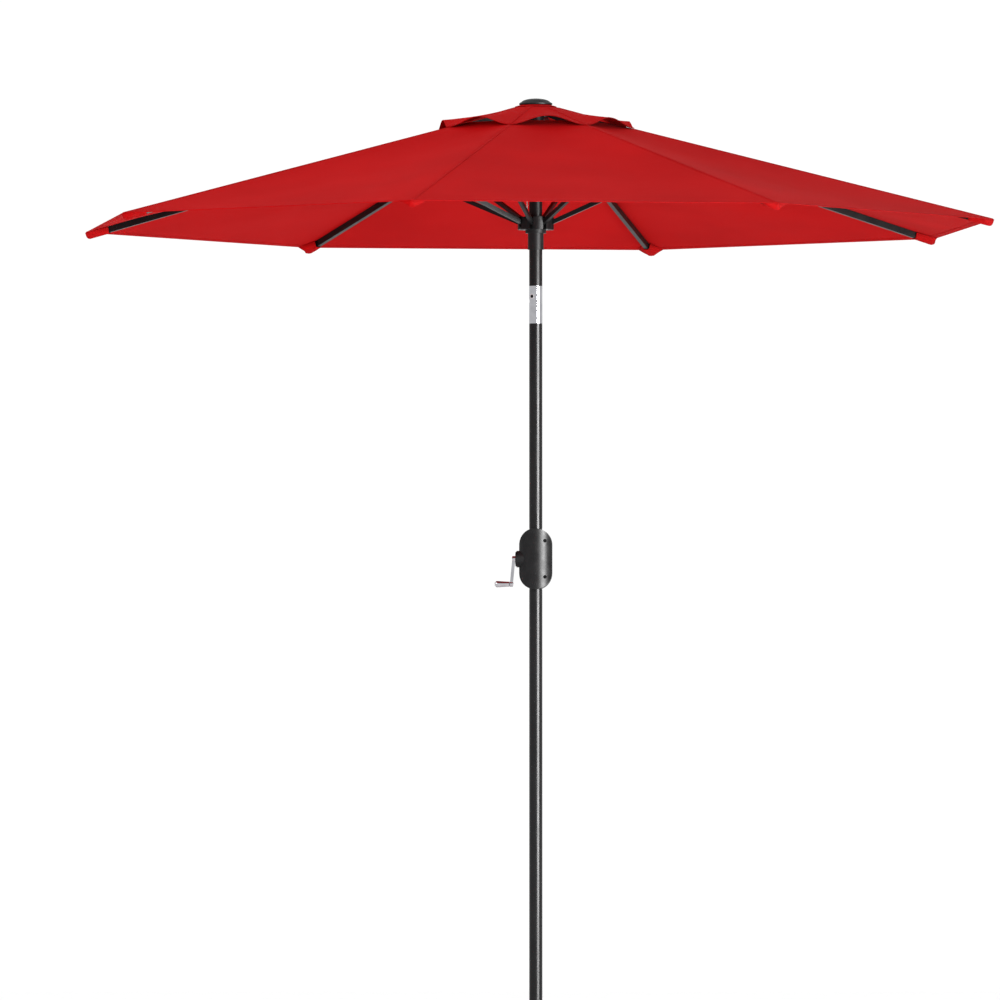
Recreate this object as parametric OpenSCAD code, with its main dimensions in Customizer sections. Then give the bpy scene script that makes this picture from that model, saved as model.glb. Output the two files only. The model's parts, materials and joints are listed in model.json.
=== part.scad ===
// Crank-lift market umbrella with a tilting upper pole, eight ribs and a vented canopy.
// Millimetres. +Z runs up the pole, the origin is the middle of the pole's foot,
// and the upper pole tips towards -X about the tilt hinge. Drawn open and upright.

/* [Canopy] */
// Distance from the pole axis to a canopy corner
canopy_r = 1350; // [1200:10:1450]
// Turn of the first rib from +X, in degrees
rib_phase = 34; // [0:1:44]
// Drop of the ribs below level when open, in degrees
rib_slope = 14.5; // [12:0.5:18]
// Radius of the vent cap at a rib
vent_r = 293; // [240:1:340]
// Lift of the vent cap's edge midway between ribs
vent_lift = 26; // [10:1:40]
// Thickness of the canopy cloth
cloth_t = 1.2; // [0.8:0.1:2]

/* [Pole] */
// Height of the rib hinges above the foot
hinge_z = 2562; // [2500:1:2620]
// Outer radius of the lower pole
pole_r = 19; // [18:0.1:19.2]
// Outer radius of the upper pole
upper_r = 19; // [17.5:0.1:19]
// Wall of both poles
pole_wall = 1.5; // [1.2:0.1:1.6]
// Height of the crank's axis
crank_z = 1275; // [1250:1:1330]
// Height of the tilt hinge
tilt_z = 2030; // [2020:1:2040]

/* [Frame] */
// Width of a rib tube
rib_w = 12; // [11:0.5:12]
// Depth of a rib tube
rib_d = 18; // [16:0.5:18]
// Distance along a rib from its hinge to its strut
strut_at = 470; // [460:1:480]
// Height of the strut hinges on the runner
runner_z = 2240; // [2236:1:2244]
// Wall of the rib and strut tubes
tube_wall = 1.2; // [1:0.1:1.5]

/* [Crank] */
// Width of the crank housing
housing_w = 95; // [90:1:100]
// Height of the crank housing
housing_h = 175; // [165:1:180]
// Distance from the crank axis to the grip's axis
crank_throw = 72; // [65:1:75]

/* [Hidden] */
$fn = 48;
COUNT = 8;
step_a = 360 / COUNT;
eps = 0.01;

// rib linkage
hinge_r = 38;
rib_start = 14;
rib_tip_gap = 16;
strut_drop = 16;
strut_w = 10;
strut_d = 12;
eye_w = 8;
eye_r = 6;
root_eye_r = 8.5;
pin_r = 2;
pin_fit = 0.05;
strut_pin_r = 2.5;
runner_r = 42;
neck = 14;
rib_len = (canopy_r - rib_tip_gap - hinge_r) / cos(rib_slope);
strut_out = [
    hinge_r + strut_at * cos(rib_slope) - strut_drop * sin(rib_slope),
    hinge_z - strut_at * sin(rib_slope) - strut_drop * cos(rib_slope)
];
strut_in = [runner_r, runner_z];
strut_vec = strut_out - strut_in;
strut_len = norm(strut_vec);
strut_rise = atan2(strut_vec[1], strut_vec[0]);

// canopy
cloth_lift = 10;
main_in_r = 225;
vent_in_r = 46;
patch_r = 66;
half_gore = step_a / 2 - 0.03;
corner_ratio = cos(step_a / 2);

// crown and runner
crown_r = 46;
crown_top = hinge_z + 14;
crown_bottom = hinge_z - 12;
collar_bottom = hinge_z - 42;
pole_top = hinge_z - 17;
slot_w = rib_w + 0.8;
crown_floor_r = hinge_r - root_eye_r - 1.2;
stud_r = 6;
stud_top = crown_top + 18;
finial_bottom = crown_top + 4.6;
finial_r = 48;
runner_bore = 20.3;
hub_r = 52;
hub_half = 18;
hub_floor_r = runner_r - eye_r - 1;
sleeve_r = 22.6;
collar_r = 24;
sleeve_bottom = runner_z - 75;

// lift cord and pulley
cord_r = 1.2;
pulley_r = 12.5;
pulley_z = hinge_z - 2;
pulley_a = rib_phase + step_a * 3.5;
spool_r = 12.6;
cord_sides = 8;

// tilt knuckles
knuckle_r = 19.3;
tilt_x = -10;
shoulder_z = tilt_z - 18;
lower_top = tilt_z - 78;
upper_bottom = tilt_z + 30;
ear_r = 12;
ear_gap = 0.4;
tongue_half = 7.6;
sleeve_pin_r = 7;
button_r = 4.5;
button_end = -6;
spring_end = 10;

// crank housing
shell = 3;
cap_r = housing_w / 2;
straight_h = housing_h - housing_w;
front_r = 55;
front_y = 21;
shaft_r = 5;
boss_r = 24;
boss_end = -housing_w / 2 - 10.5;
arm_x = boss_end - 5;
arm_tip_x = arm_x - 7;
arm_half = 4.4;
pin_head_r = 4.5;
grip_r = 9.5;
grip_len = 42;
grip_x = arm_tip_x - arm_half - 0.4;
screw_x = 28;
screw_z = 52;
neck_low = crank_z - housing_h / 2 - 1.5;
neck_high = crank_z + housing_h / 2 + 1.5;
neck_r = pole_r - 0.4;

frame_black = [0.06, 0.06, 0.065];
pole_grey = [0.2, 0.2, 0.21];
chrome = [0.8, 0.8, 0.82];
steel = [0.6, 0.6, 0.62];
plastic_black = [0.08, 0.08, 0.085];
cloth_red = [0.75, 0.05, 0.06];
cord_grey = [0.75, 0.75, 0.72];

// ---------- helpers ----------

// Places its children in the frame of rib k: +X points along the rib, seen from above.
module at_rib(k) {
    rotate([0, 0, rib_phase + step_a * (k - 1)]) children();
}

// The frame of a rib's centreline: origin at its hinge, +X towards its tip, +Z to its top.
module rib_frame(k) {
    at_rib(k) translate([hinge_r, 0, hinge_z]) rotate([0, rib_slope, 0]) children();
}

// The frame of a strut: origin at its runner hinge, +X towards the rib.
module strut_frame(k) {
    at_rib(k) translate([strut_in[0], 0, strut_in[1]]) rotate([0, -strut_rise, 0]) children();
}

module tube(r, wall, z0, z1) {
    translate([0, 0, z0]) difference() {
        cylinder(r = r, h = z1 - z0, $fn = 96);
        translate([0, 0, -1]) cylinder(r = r - wall, h = z1 - z0 + 2, $fn = 96);
    }
}

module y_cylinder(r, y0, y1) {
    translate([0, y1, 0]) rotate([90, 0, 0]) cylinder(r = r, h = y1 - y0);
}

module x_cylinder(r, x0, x1) {
    translate([x0, 0, 0]) rotate([0, 90, 0]) cylinder(r = r, h = x1 - x0);
}

function unit(v) = v / norm(v);

// A ring of points round p, square to the direction t.
function ring(p, t, r, sides) =
    let (
        side = abs(t[1]) < 0.9 ? [0, 1, 0] : [1, 0, 0],
        u = unit(cross(t, side)),
        v = cross(t, u)
    )
    [for (i = [0:sides - 1]) p + r * (cos(360 * i / sides) * u + sin(360 * i / sides) * v)];

function tangent(path, i) =
    unit(path[min(i + 1, len(path) - 1)] - path[max(i - 1, 0)]);

// A closed round tube along a list of points.
module sweep(path, r, sides) {
    last = len(path) - 1;
    points = [for (i = [0:last]) each ring(path[i], tangent(path, i), r, sides)];
    walls = [
        for (i = [0:last - 1], j = [0:sides - 1])
            let (a = i * sides + j, b = i * sides + (j + 1) % sides)
            [a, b, b + sides, a + sides]
    ];
    start = [for (j = [sides - 1:-1:0]) j];
    end = [for (j = [0:sides - 1]) last * sides + j];
    polyhedron(points, concat(walls, [start, end]), convexity = 6);
}

// ---------- poles ----------

module lower_pole() {
    color(pole_grey) difference() {
        tube(pole_r, pole_wall, 0, lower_top);
        // seat that the crank housing clamps
        translate([0, 0, neck_low]) difference() {
            cylinder(r = pole_r + 1, h = neck_high - neck_low);
            translate([0, 0, -1]) cylinder(r = neck_r, h = neck_high - neck_low + 2, $fn = 96);
        }
        // window for the cord spool, and the shaft's two holes
        translate([-12, -pole_r - 1, crank_z - 18]) cube([24, pole_r + 1, 36]);
        translate([0, 0, crank_z]) x_cylinder(8, -pole_r - 1, pole_r + 1);
    }
}

module pole_foot_plug() {
    plug_r = pole_r - pole_wall;
    color(plastic_black) difference() {
        cylinder(r = plug_r, h = 30);
        translate([0, 0, 3]) cylinder(r = plug_r - 3, h = 30);
    }
}

module upper_pole() {
    color(frame_black) tube(upper_r, pole_wall, upper_bottom, pole_top);
}

// ---------- crank housing ----------

// A slab with round ends, lying across Y.
module stadium(r, y0, y1) {
    translate([0, 0, straight_h / 2]) y_cylinder(r, y0, y1);
    translate([0, 0, -straight_h / 2]) y_cylinder(r, y0, y1);
    translate([-r, y0, -straight_h / 2]) cube([2 * r, y1 - y0, straight_h]);
}

// The outside, or with inset > 0 the inside, of the half of the housing towards -Y.
module housing_half_form(inset) {
    intersection() {
        stadium(cap_r - inset, inset - 40, 0);
        translate([0, front_y, -housing_h]) cylinder(r = front_r - inset, h = 2 * housing_h, $fn = 96);
    }
}

module screw_places() {
    for (s = [-1, 1]) translate([screw_x, 0, s * screw_z]) children();
}

module housing_half_solid() {
    difference() {
        union() {
            difference() {
                housing_half_form(0);
                housing_half_form(shell);
            }
            intersection() {
                housing_half_form(0);
                screw_places() y_cylinder(7, -40, 0);
            }
        }
        translate([0, 0, -housing_h]) cylinder(r = neck_r, h = 2 * housing_h, $fn = 96);
        x_cylinder(13, -housing_w, -cap_r + shell + 7);
    }
}

module housing_front() {
    color(plastic_black) translate([0, 0, crank_z]) difference() {
        housing_half_solid();
        screw_places() y_cylinder(2.2, -40, 1);
        screw_places() y_cylinder(5, -40, -18);
    }
}

module housing_back() {
    color(plastic_black) translate([0, 0, crank_z]) mirror([0, 1, 0]) difference() {
        housing_half_solid();
        screw_places() y_cylinder(2, -16, 1);
    }
}

module housing_screws() {
    color(plastic_black) translate([0, 0, crank_z]) screw_places() {
        y_cylinder(2, -18, 14);
        difference() {
            y_cylinder(4, -21, -18);
            translate([-3, -22, -0.6]) cube([6, 2.2, 1.2]);
            translate([-0.6, -22, -3]) cube([1.2, 2.2, 6]);
        }
    }
}

// ---------- crank ----------

module crank_bearing() {
    color(plastic_black) translate([0, 0, crank_z]) difference() {
        union() {
            x_cylinder(boss_r - 3, boss_end, boss_end + 3);
            difference() {
                x_cylinder(boss_r, boss_end + 3, -30);
                housing_half_form(-0.1);
                mirror([0, 1, 0]) housing_half_form(-0.1);
            }
            x_cylinder(12.8, boss_end + 3, -cap_r + 6);
        }
        x_cylinder(shaft_r + pin_fit, boss_end - 1, 0);
    }
}

module shaft_bushes() {
    color("ivory") translate([0, 0, crank_z]) for (s = [-1, 1]) difference() {
        x_cylinder(7.9, s > 0 ? 14 : -24, s > 0 ? 24 : -14);
        x_cylinder(shaft_r + pin_fit, -30, 30);
    }
}

module crank_shaft() {
    color(steel) translate([0, 0, crank_z]) x_cylinder(shaft_r, arm_x - arm_half - 1, 22);
}

module cord_spool() {
    color("ivory") translate([0, 0, crank_z]) difference() {
        union() {
            x_cylinder(spool_r - cord_r, -9, 9);
            x_cylinder(14, -9, -7);
            x_cylinder(14, 7, 9);
        }
        x_cylinder(shaft_r, -10, 10);
    }
}

module crank_arm() {
    lean = atan2(arm_x - arm_tip_x, crank_throw);
    bar = crank_throw / cos(lean);
    color(chrome) translate([0, 0, crank_z]) difference() {
        union() {
            x_cylinder(9, arm_x - arm_half, arm_x + arm_half);
            translate([arm_x, 0, 0]) rotate([0, lean, 0])
                translate([-arm_half, -6, -bar]) cube([2 * arm_half, 12, bar]);
            translate([0, 0, -crank_throw]) x_cylinder(8, arm_tip_x - arm_half, arm_tip_x + arm_half);
        }
        x_cylinder(shaft_r, arm_x - 6, arm_x + 6);
        translate([0, 0, -crank_throw]) {
            x_cylinder(3, arm_tip_x - 10, arm_tip_x + 10);
            x_cylinder(pin_head_r + 0.2, arm_tip_x + arm_half, arm_tip_x + arm_half + 5);
        }
    }
}

module grip_pin() {
    color(steel) translate([0, 0, crank_z - crank_throw]) {
        x_cylinder(3, grip_x - grip_len, arm_tip_x + arm_half);
        x_cylinder(pin_head_r, arm_tip_x + arm_half, arm_tip_x + arm_half + 1.5);
        x_cylinder(pin_head_r, grip_x - grip_len - 1.5, grip_x - grip_len);
    }
}

module crank_grip() {
    color(chrome) translate([grip_x, 0, crank_z - crank_throw]) rotate([0, -90, 0])
        rotate_extrude($fn = 64) polygon([
            [3 + pin_fit, 0], [6, 0], [7.4, 1.5], [8, 14], [grip_r, grip_len - 6],
            [grip_r - 0.6, grip_len - 2.2], [6, grip_len - 0.5], [3 + pin_fit, grip_len - 0.5]
        ]);
}

// ---------- tilt joint ----------

module at_tilt() {
    translate([tilt_x, 0, tilt_z]) children();
}

// The plates either side of the tongue: everything with |y| above half.
module outside_of(half) {
    for (s = [-1, 1])
        translate([-40, s > 0 ? half : -40, tilt_z - 40]) cube([80, 40 - half, 80]);
}

module ear_form(r, side, drop) {
    at_tilt() y_cylinder(r, -25, 25);
    translate([tilt_x - side, -25, tilt_z - drop]) cube([2 * side, 50, drop]);
}

module tilt_lower_knuckle() {
    color(chrome) difference() {
        union() {
            translate([0, 0, lower_top]) cylinder(r = knuckle_r, h = shoulder_z - lower_top, $fn = 96);
            translate([0, 0, lower_top - 38]) cylinder(r = pole_r - pole_wall, h = 38, $fn = 96);
            intersection() {
                cylinder(r = knuckle_r, h = 3000, $fn = 96);
                ear_form(ear_r, ear_r, tilt_z - shoulder_z);
                outside_of(tongue_half + ear_gap);
            }
        }
        at_tilt() y_cylinder(sleeve_pin_r, -30, 30);
        translate([2.5, 0, lower_top - 50]) cylinder(r = 3.5, h = 160);
    }
}

module tilt_upper_knuckle() {
    color(chrome) difference() {
        union() {
            difference() {
                translate([0, 0, shoulder_z + ear_gap])
                    cylinder(r = knuckle_r, h = upper_bottom - shoulder_z - ear_gap, $fn = 96);
                intersection() {
                    ear_form(ear_r + ear_gap, ear_r + ear_gap, 30);
                    outside_of(tongue_half);
                }
                translate([tilt_x - 30, -40, tilt_z - 40]) cube([42.4, 80, 40]);
            }
            intersection() {
                at_tilt() y_cylinder(ear_r, -tongue_half, tongue_half);
                cylinder(r = knuckle_r, h = 3000, $fn = 96);
            }
            translate([0, 0, upper_bottom]) cylinder(r = upper_r - pole_wall, h = 30, $fn = 96);
        }
        at_tilt() y_cylinder(sleeve_pin_r + pin_fit, -30, 30);
        translate([2.5, 0, tilt_z - 50]) cylinder(r = 3.5, h = 150);
    }
}

// Keeps what is within a radius of the pole's axis, so that the runner slides over it.
module within(r) {
    intersection() {
        cylinder(r = r, h = 3000, $fn = 96);
        children();
    }
}

module tilt_sleeve() {
    color(steel) within(knuckle_r - 0.1) at_tilt() difference() {
        y_cylinder(sleeve_pin_r, -18, 18);
        y_cylinder(button_r + pin_fit, -19, 19);
    }
}

module tilt_button() {
    color(plastic_black) within(runner_bore - 0.3) at_tilt() y_cylinder(button_r, -20, button_end);
}

module tilt_spring() {
    turns = 5;
    per_turn = 12;
    y0 = button_end + 0.5;
    y1 = spring_end - 0.5;
    coil = [
        for (i = [0:turns * per_turn])
            let (a = 360 * i / per_turn, y = y0 + (y1 - y0) * i / (turns * per_turn))
            [3.3 * cos(a), y, 3.3 * sin(a)]
    ];
    color(steel) at_tilt() sweep(coil, 0.45, 6);
}

module tilt_rear_plug() {
    color(chrome) within(knuckle_r - 0.1) at_tilt() y_cylinder(button_r + pin_fit, spring_end, 18);
}

// ---------- crown ----------

module crown_hub() {
    color(frame_black) difference() {
        union() {
            translate([0, 0, crown_bottom]) cylinder(r = crown_r, h = crown_top - crown_bottom, $fn = 96);
            translate([0, 0, collar_bottom]) cylinder(r = collar_r, h = crown_bottom - collar_bottom, $fn = 96);
            cylinder(r = stud_r, h = stud_top);
        }
        cylinder(r = upper_r, h = pole_top, $fn = 96);
        for (k = [1:COUNT]) at_rib(k) {
            translate([crown_floor_r, -slot_w / 2, crown_bottom - 1])
                cube([crown_r, slot_w, crown_top - crown_bottom + 2]);
            translate([hinge_r, 0, hinge_z]) y_cylinder(pin_r, -11, 11);
        }
        // the pulley's slot, and the hole that the cord rises through
        rotate([0, 0, pulley_a]) {
            translate([-3, -3.5, collar_bottom - 1]) cube([30.5, 7, pulley_z + 15.6 - collar_bottom]);
            translate([pulley_r, 0, pulley_z]) y_cylinder(pin_r, -9, 9);
        }
    }
}

module crown_pins() {
    color(steel) for (k = [1:COUNT]) at_rib(k)
        translate([hinge_r, 0, hinge_z]) y_cylinder(pin_r, -10, 10);
}

module pulley() {
    color("ivory") rotate([0, 0, pulley_a]) translate([pulley_r, 0, pulley_z]) rotate([90, 0, 0])
        rotate_extrude($fn = 64) polygon([
            [pin_r + pin_fit, -2.5], [13, -2.5], [pulley_r - cord_r - 0.2, -1.2],
            [pulley_r - cord_r - 0.2, 1.2], [13, 2.5], [pin_r + pin_fit, 2.5]
        ]);
}

module pulley_axle() {
    color(steel) rotate([0, 0, pulley_a]) translate([pulley_r, 0, pulley_z]) y_cylinder(pin_r, -8, 8);
}

module finial() {
    color(plastic_black) difference() {
        translate([0, 0, finial_bottom]) rotate_extrude($fn = 96) polygon(concat(
            [[0, 0], [finial_r - 3, 0], [finial_r, 2], [finial_r, 5], [finial_r - 4, 8]],
            [for (a = [10:10:90]) [(finial_r - 6) * cos(a), 7 + 12.4 * sin(a)]]
        ));
        cylinder(r = stud_r + 0.08, h = stud_top + 0.5);
    }
}

module canopy_patch() {
    z0 = crown_top + 3.2;
    drop = 5.6;
    color(cloth_red) translate([0, 0, z0]) rotate_extrude($fn = 96) polygon([
        [stud_r + 1, 0], [crown_r, 0], [patch_r, -drop], [patch_r, cloth_t - drop],
        [crown_r, cloth_t], [stud_r + 1, cloth_t]
    ]);
}

// ---------- runner ----------

module runner_hub() {
    color(frame_black) difference() {
        translate([0, 0, runner_z - hub_half]) cylinder(r = hub_r, h = 2 * hub_half, $fn = 96);
        cylinder(r = runner_bore, h = 3000, $fn = 96);
        for (k = [1:COUNT]) at_rib(k) {
            translate([hub_floor_r, -(strut_w + 0.8) / 2, runner_z - hub_half - 1])
                cube([hub_r, strut_w + 0.8, 2 * hub_half + 2]);
            // the struts' pins sit at the top of grooves that are open below
            translate([runner_r, 0, runner_z]) y_cylinder(strut_pin_r + 0.3, -10, 10);
            translate([runner_r - strut_pin_r - 0.3, -10, runner_z - hub_half - 1])
                cube([2 * strut_pin_r + 0.6, 20, hub_half + 1]);
        }
        rotate([0, 0, pulley_a]) translate([2 * pulley_r, 0, runner_z + hub_half - 10])
            cylinder(r = cord_r + 0.1, h = 20);
    }
}

module runner_sleeve() {
    color(plastic_black) difference() {
        union() {
            translate([0, 0, sleeve_bottom]) cylinder(r = sleeve_r, h = runner_z - hub_half - sleeve_bottom, $fn = 96);
            translate([0, 0, sleeve_bottom]) cylinder(r = sleeve_r + 0.8, h = 5, $fn = 96);
            translate([0, 0, runner_z - hub_half - 10]) cylinder(r = 30, h = 10, $fn = 96);
        }
        cylinder(r = runner_bore, h = 3000, $fn = 96);
    }
}

// ---------- ribs and struts ----------

module rib(k) {
    color(frame_black) rib_frame(k) difference() {
        translate([rib_start, -rib_w / 2, -rib_d / 2]) cube([rib_len - rib_start, rib_w, rib_d]);
        translate([rib_start - 1, tube_wall - rib_w / 2, tube_wall - rib_d / 2])
            cube([rib_len, rib_w - 2 * tube_wall, rib_d - 2 * tube_wall]);
    }
}

module rib_fittings(k) {
    inner_w = rib_w - 2 * tube_wall;
    inner_d = rib_d - 2 * tube_wall;
    lug_w = eye_w / 2 + 0.3;
    saddle = rib_w / 2 + 2.6;
    color(plastic_black) rib_frame(k) {
        // root eye and the plug that holds it in the tube
        difference() {
            union() {
                y_cylinder(root_eye_r, -rib_w / 2, rib_w / 2);
                translate([0, -rib_w / 2, -root_eye_r]) cube([rib_start, rib_w, 2 * root_eye_r]);
                translate([0, -inner_w / 2, -inner_d / 2]) cube([rib_start + 26, inner_w, inner_d]);
            }
            y_cylinder(pin_r + pin_fit, -10, 10);
        }
        // saddle with two lugs for the strut
        difference() {
            union() {
                translate([strut_at - 20, -saddle, -rib_d / 2 - 2.6]) cube([31, 2 * saddle, rib_d / 2 + 6]);
                translate([strut_at, 0, -strut_drop]) y_cylinder(7.5, -saddle, saddle);
                translate([strut_at - 7.5, -saddle, -strut_drop]) cube([15, 2 * saddle, strut_drop]);
            }
            translate([strut_at - 30, -rib_w / 2, -rib_d / 2]) cube([60, rib_w, 40]);
            translate([strut_at - 30, -lug_w, -strut_drop - 20]) cube([60, 2 * lug_w, 20 + strut_drop]);
            translate([strut_at, 0, -strut_drop]) y_cylinder(pin_r, -20, 20);
        }
        translate([strut_at, 0, -strut_drop]) y_cylinder(pin_r, -saddle - 0.8, saddle + 0.8);
        // tip cap
        translate([rib_len - 22, -inner_w / 2, -inner_d / 2]) cube([22, inner_w, inner_d]);
        translate([rib_len, -rib_w / 2 - 0.4, -rib_d / 2 - 0.4]) cube([6, rib_w + 0.8, rib_d + 0.8]);
        translate([rib_len + 6, 0, 0]) intersection() {
            y_cylinder(rib_d / 2 - 1, -rib_w / 2, rib_w / 2);
            translate([0, -20, -20]) cube([5, 40, 40]);
        }
    }
}

module strut(k) {
    color(frame_black) strut_frame(k) difference() {
        union() {
            difference() {
                translate([neck, -strut_w / 2, -strut_d / 2]) cube([strut_len - 2 * neck, strut_w, strut_d]);
                translate([neck + 12, tube_wall - strut_w / 2, tube_wall - strut_d / 2])
                    cube([strut_len - 2 * neck - 24, strut_w - 2 * tube_wall, strut_d - 2 * tube_wall]);
            }
            y_cylinder(eye_r, -eye_w / 2, eye_w / 2);
            translate([0, -eye_w / 2, -eye_r]) cube([neck, eye_w, 2 * eye_r]);
            translate([strut_len, 0, 0]) y_cylinder(eye_r, -eye_w / 2, eye_w / 2);
            translate([strut_len - neck, -eye_w / 2, -eye_r]) cube([neck, eye_w, 2 * eye_r]);
            // the cross pin that the runner holds
            y_cylinder(strut_pin_r, -9.5, 9.5);
        }
        translate([strut_len, 0, 0]) y_cylinder(pin_r + pin_fit, -20, 20);
    }
}

// ---------- canopy ----------

// Height of the cloth's underside over a rib, at distance r from the axis.
function cloth_z(r) = hinge_z - (r - hinge_r) * tan(rib_slope) + cloth_lift / cos(rib_slope);

// Five points across a panel at corner distance r: the height rises by lift midway to the next rib.
function panel_row(r, z, lift) = [
    for (i = [-2:2])
        let (
            share = abs(i) / 2,
            a = sign(i) * half_gore,
            edge = [r * corner_ratio * cos(a), r * corner_ratio * sin(a)],
            p = [r, 0] * (1 - share) + edge * share
        )
        [p[0], p[1], z + lift * share * share * (3 - 2 * share)]
];

// A closed sheet through rows of five points, cloth_t thick.
module sheet(rows) {
    cols = 5;
    last = len(rows) - 1;
    count = cols * len(rows);
    low = [for (row = rows) each row];
    high = [for (p = low) p + [0, 0, cloth_t]];
    function at(i, j, top) = i * cols + j + (top ? count : 0);
    tops = [
        for (i = [0:last - 1], j = [0:cols - 2])
            each [
                [at(i, j, true), at(i, j + 1, true), at(i + 1, j, true)],
                [at(i, j + 1, true), at(i + 1, j + 1, true), at(i + 1, j, true)]
            ]
    ];
    bottoms = [
        for (i = [0:last - 1], j = [0:cols - 2])
            each [
                [at(i, j, false), at(i + 1, j, false), at(i, j + 1, false)],
                [at(i, j + 1, false), at(i + 1, j, false), at(i + 1, j + 1, false)]
            ]
    ];
    inner = [
        for (j = [0:cols - 2])
            [at(0, j, false), at(0, j + 1, false), at(0, j + 1, true), at(0, j, true)]
    ];
    outer = [
        for (j = [0:cols - 2])
            [at(last, j, true), at(last, j + 1, true), at(last, j + 1, false), at(last, j, false)]
    ];
    left = [
        for (i = [0:last - 1])
            [at(i, 0, true), at(i + 1, 0, true), at(i + 1, 0, false), at(i, 0, false)]
    ];
    right = [
        for (i = [0:last - 1])
            [at(i, 4, false), at(i + 1, 4, false), at(i + 1, 4, true), at(i, 4, true)]
    ];
    polyhedron(concat(low, high), concat(tops, bottoms, inner, outer, left, right), convexity = 6);
}

module canopy_panel(k) {
    vent_gap = cloth_t + 1.6;
    vent_top = crown_top + 1.6;
    vent_edge = cloth_z(vent_r) + vent_gap;
    color(cloth_red) at_rib(k) {
        sheet([
            panel_row(main_in_r, cloth_z(main_in_r), 0),
            panel_row(canopy_r, cloth_z(canopy_r), 0)
        ]);
        sheet([
            for (share = [0:0.25:1])
                panel_row(
                    vent_in_r + (vent_r - vent_in_r) * share,
                    vent_top + (vent_edge - vent_top) * share,
                    vent_lift * share * share
                )
        ]);
    }
}

// ---------- lift cord ----------

module lift_cord() {
    out = [cos(pulley_a), sin(pulley_a), 0];
    spool_leave = [2.5, -spool_r, crank_z];
    rise = [
        spool_leave,
        spool_leave + [0, 0, 40],
        [2.5, 0, lower_top - 60],
        [2.5, 0, upper_bottom + 60],
        [0, 0, pulley_z - 40]
    ];
    over = [
        for (a = [180:-15:0])
            out * (pulley_r + pulley_r * cos(a)) + [0, 0, pulley_z + pulley_r * sin(a)]
    ];
    fall = [out * 2 * pulley_r + [0, 0, runner_z + hub_half - 9]];
    color(cord_grey) sweep(concat(rise, over, fall), cord_r, cord_sides);
}

// ---------- all nodes ----------

lower_pole();
pole_foot_plug();
housing_front();
housing_back();
housing_screws();
crank_bearing();
shaft_bushes();
crank_shaft();
cord_spool();
crank_arm();
grip_pin();
crank_grip();
tilt_lower_knuckle();
tilt_upper_knuckle();
tilt_sleeve();
tilt_button();
tilt_spring();
tilt_rear_plug();
upper_pole();
crown_hub();
crown_pins();
pulley();
pulley_axle();
finial();
canopy_patch();
runner_hub();
runner_sleeve();
lift_cord();
for (k = [1:COUNT]) {
    rib(k);
    rib_fittings(k);
    strut(k);
    canopy_panel(k);
}
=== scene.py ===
"""Looks of a crank-lift market umbrella with a tilting pole and a vented eight-rib canopy.

The poles, crank, tilt joint, hubs, ribs and struts are the CAD nodes with materials.
The cloth, tie strap, lift cord and the tilt button's spring are built here. Each gore is
two halves that meet at its middle. Every half rides on its own rib.
"""

import json
import math

import bmesh
import bpy
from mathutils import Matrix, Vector, noise


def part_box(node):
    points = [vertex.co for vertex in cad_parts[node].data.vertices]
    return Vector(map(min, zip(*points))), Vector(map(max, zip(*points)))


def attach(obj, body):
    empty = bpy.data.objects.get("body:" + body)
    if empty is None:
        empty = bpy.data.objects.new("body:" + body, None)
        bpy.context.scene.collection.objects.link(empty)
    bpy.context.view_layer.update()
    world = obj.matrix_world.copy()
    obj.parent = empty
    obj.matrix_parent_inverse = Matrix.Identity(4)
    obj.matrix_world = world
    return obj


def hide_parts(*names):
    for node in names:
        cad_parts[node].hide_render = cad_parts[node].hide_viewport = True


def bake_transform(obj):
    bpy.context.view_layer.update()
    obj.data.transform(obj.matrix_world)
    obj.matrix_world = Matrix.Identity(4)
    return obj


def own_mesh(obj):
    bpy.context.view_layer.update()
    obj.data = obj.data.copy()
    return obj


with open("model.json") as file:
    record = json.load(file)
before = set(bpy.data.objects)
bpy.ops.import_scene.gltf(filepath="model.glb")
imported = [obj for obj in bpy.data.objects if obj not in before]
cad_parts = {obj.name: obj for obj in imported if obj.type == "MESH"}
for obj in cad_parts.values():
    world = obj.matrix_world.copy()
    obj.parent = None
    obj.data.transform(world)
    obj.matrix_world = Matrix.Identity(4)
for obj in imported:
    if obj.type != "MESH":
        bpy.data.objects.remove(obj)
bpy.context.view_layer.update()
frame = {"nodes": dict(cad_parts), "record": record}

UP = Vector((0, 0, 1))
RIBS = 8
HALF_STEP = math.pi / RIBS
RIB_SLOPE = math.radians(14.5)


# ---------- what the frame says ----------

JOINTS = {joint["name"]: joint for joint in frame["record"]["behaviour"]["joints"]}


class Rib:
    """One rib's hinge and directions: out is level, along runs down the rib, top is square to it."""

    def __init__(self, number):
        self.number = number
        self.body = f"rib_arm_{number}"
        self.hinge = Vector(JOINTS[f"rib_hinge_{number}"]["pos_m"])
        self.out = Vector((self.hinge.x, self.hinge.y, 0)).normalized()
        self.across = UP.cross(self.out)
        self.along = (self.out * math.cos(RIB_SLOPE) - UP * math.sin(RIB_SLOPE)).normalized()
        self.top = (self.out * math.sin(RIB_SLOPE) + UP * math.cos(RIB_SLOPE)).normalized()

    def place(self, radial, sideways, height):
        """The point at that level distance out and across from the pole's axis, and that height."""
        return self.out * radial + self.across * sideways + UP * height


RIB_LIST = [Rib(number) for number in range(1, RIBS + 1)]
HINGE_R = math.hypot(RIB_LIST[0].hinge.x, RIB_LIST[0].hinge.y)
HINGE_Z = RIB_LIST[0].hinge.z

# ---------- canopy sizes, in metres; a radius runs from the axis to a corner ----------

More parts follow.
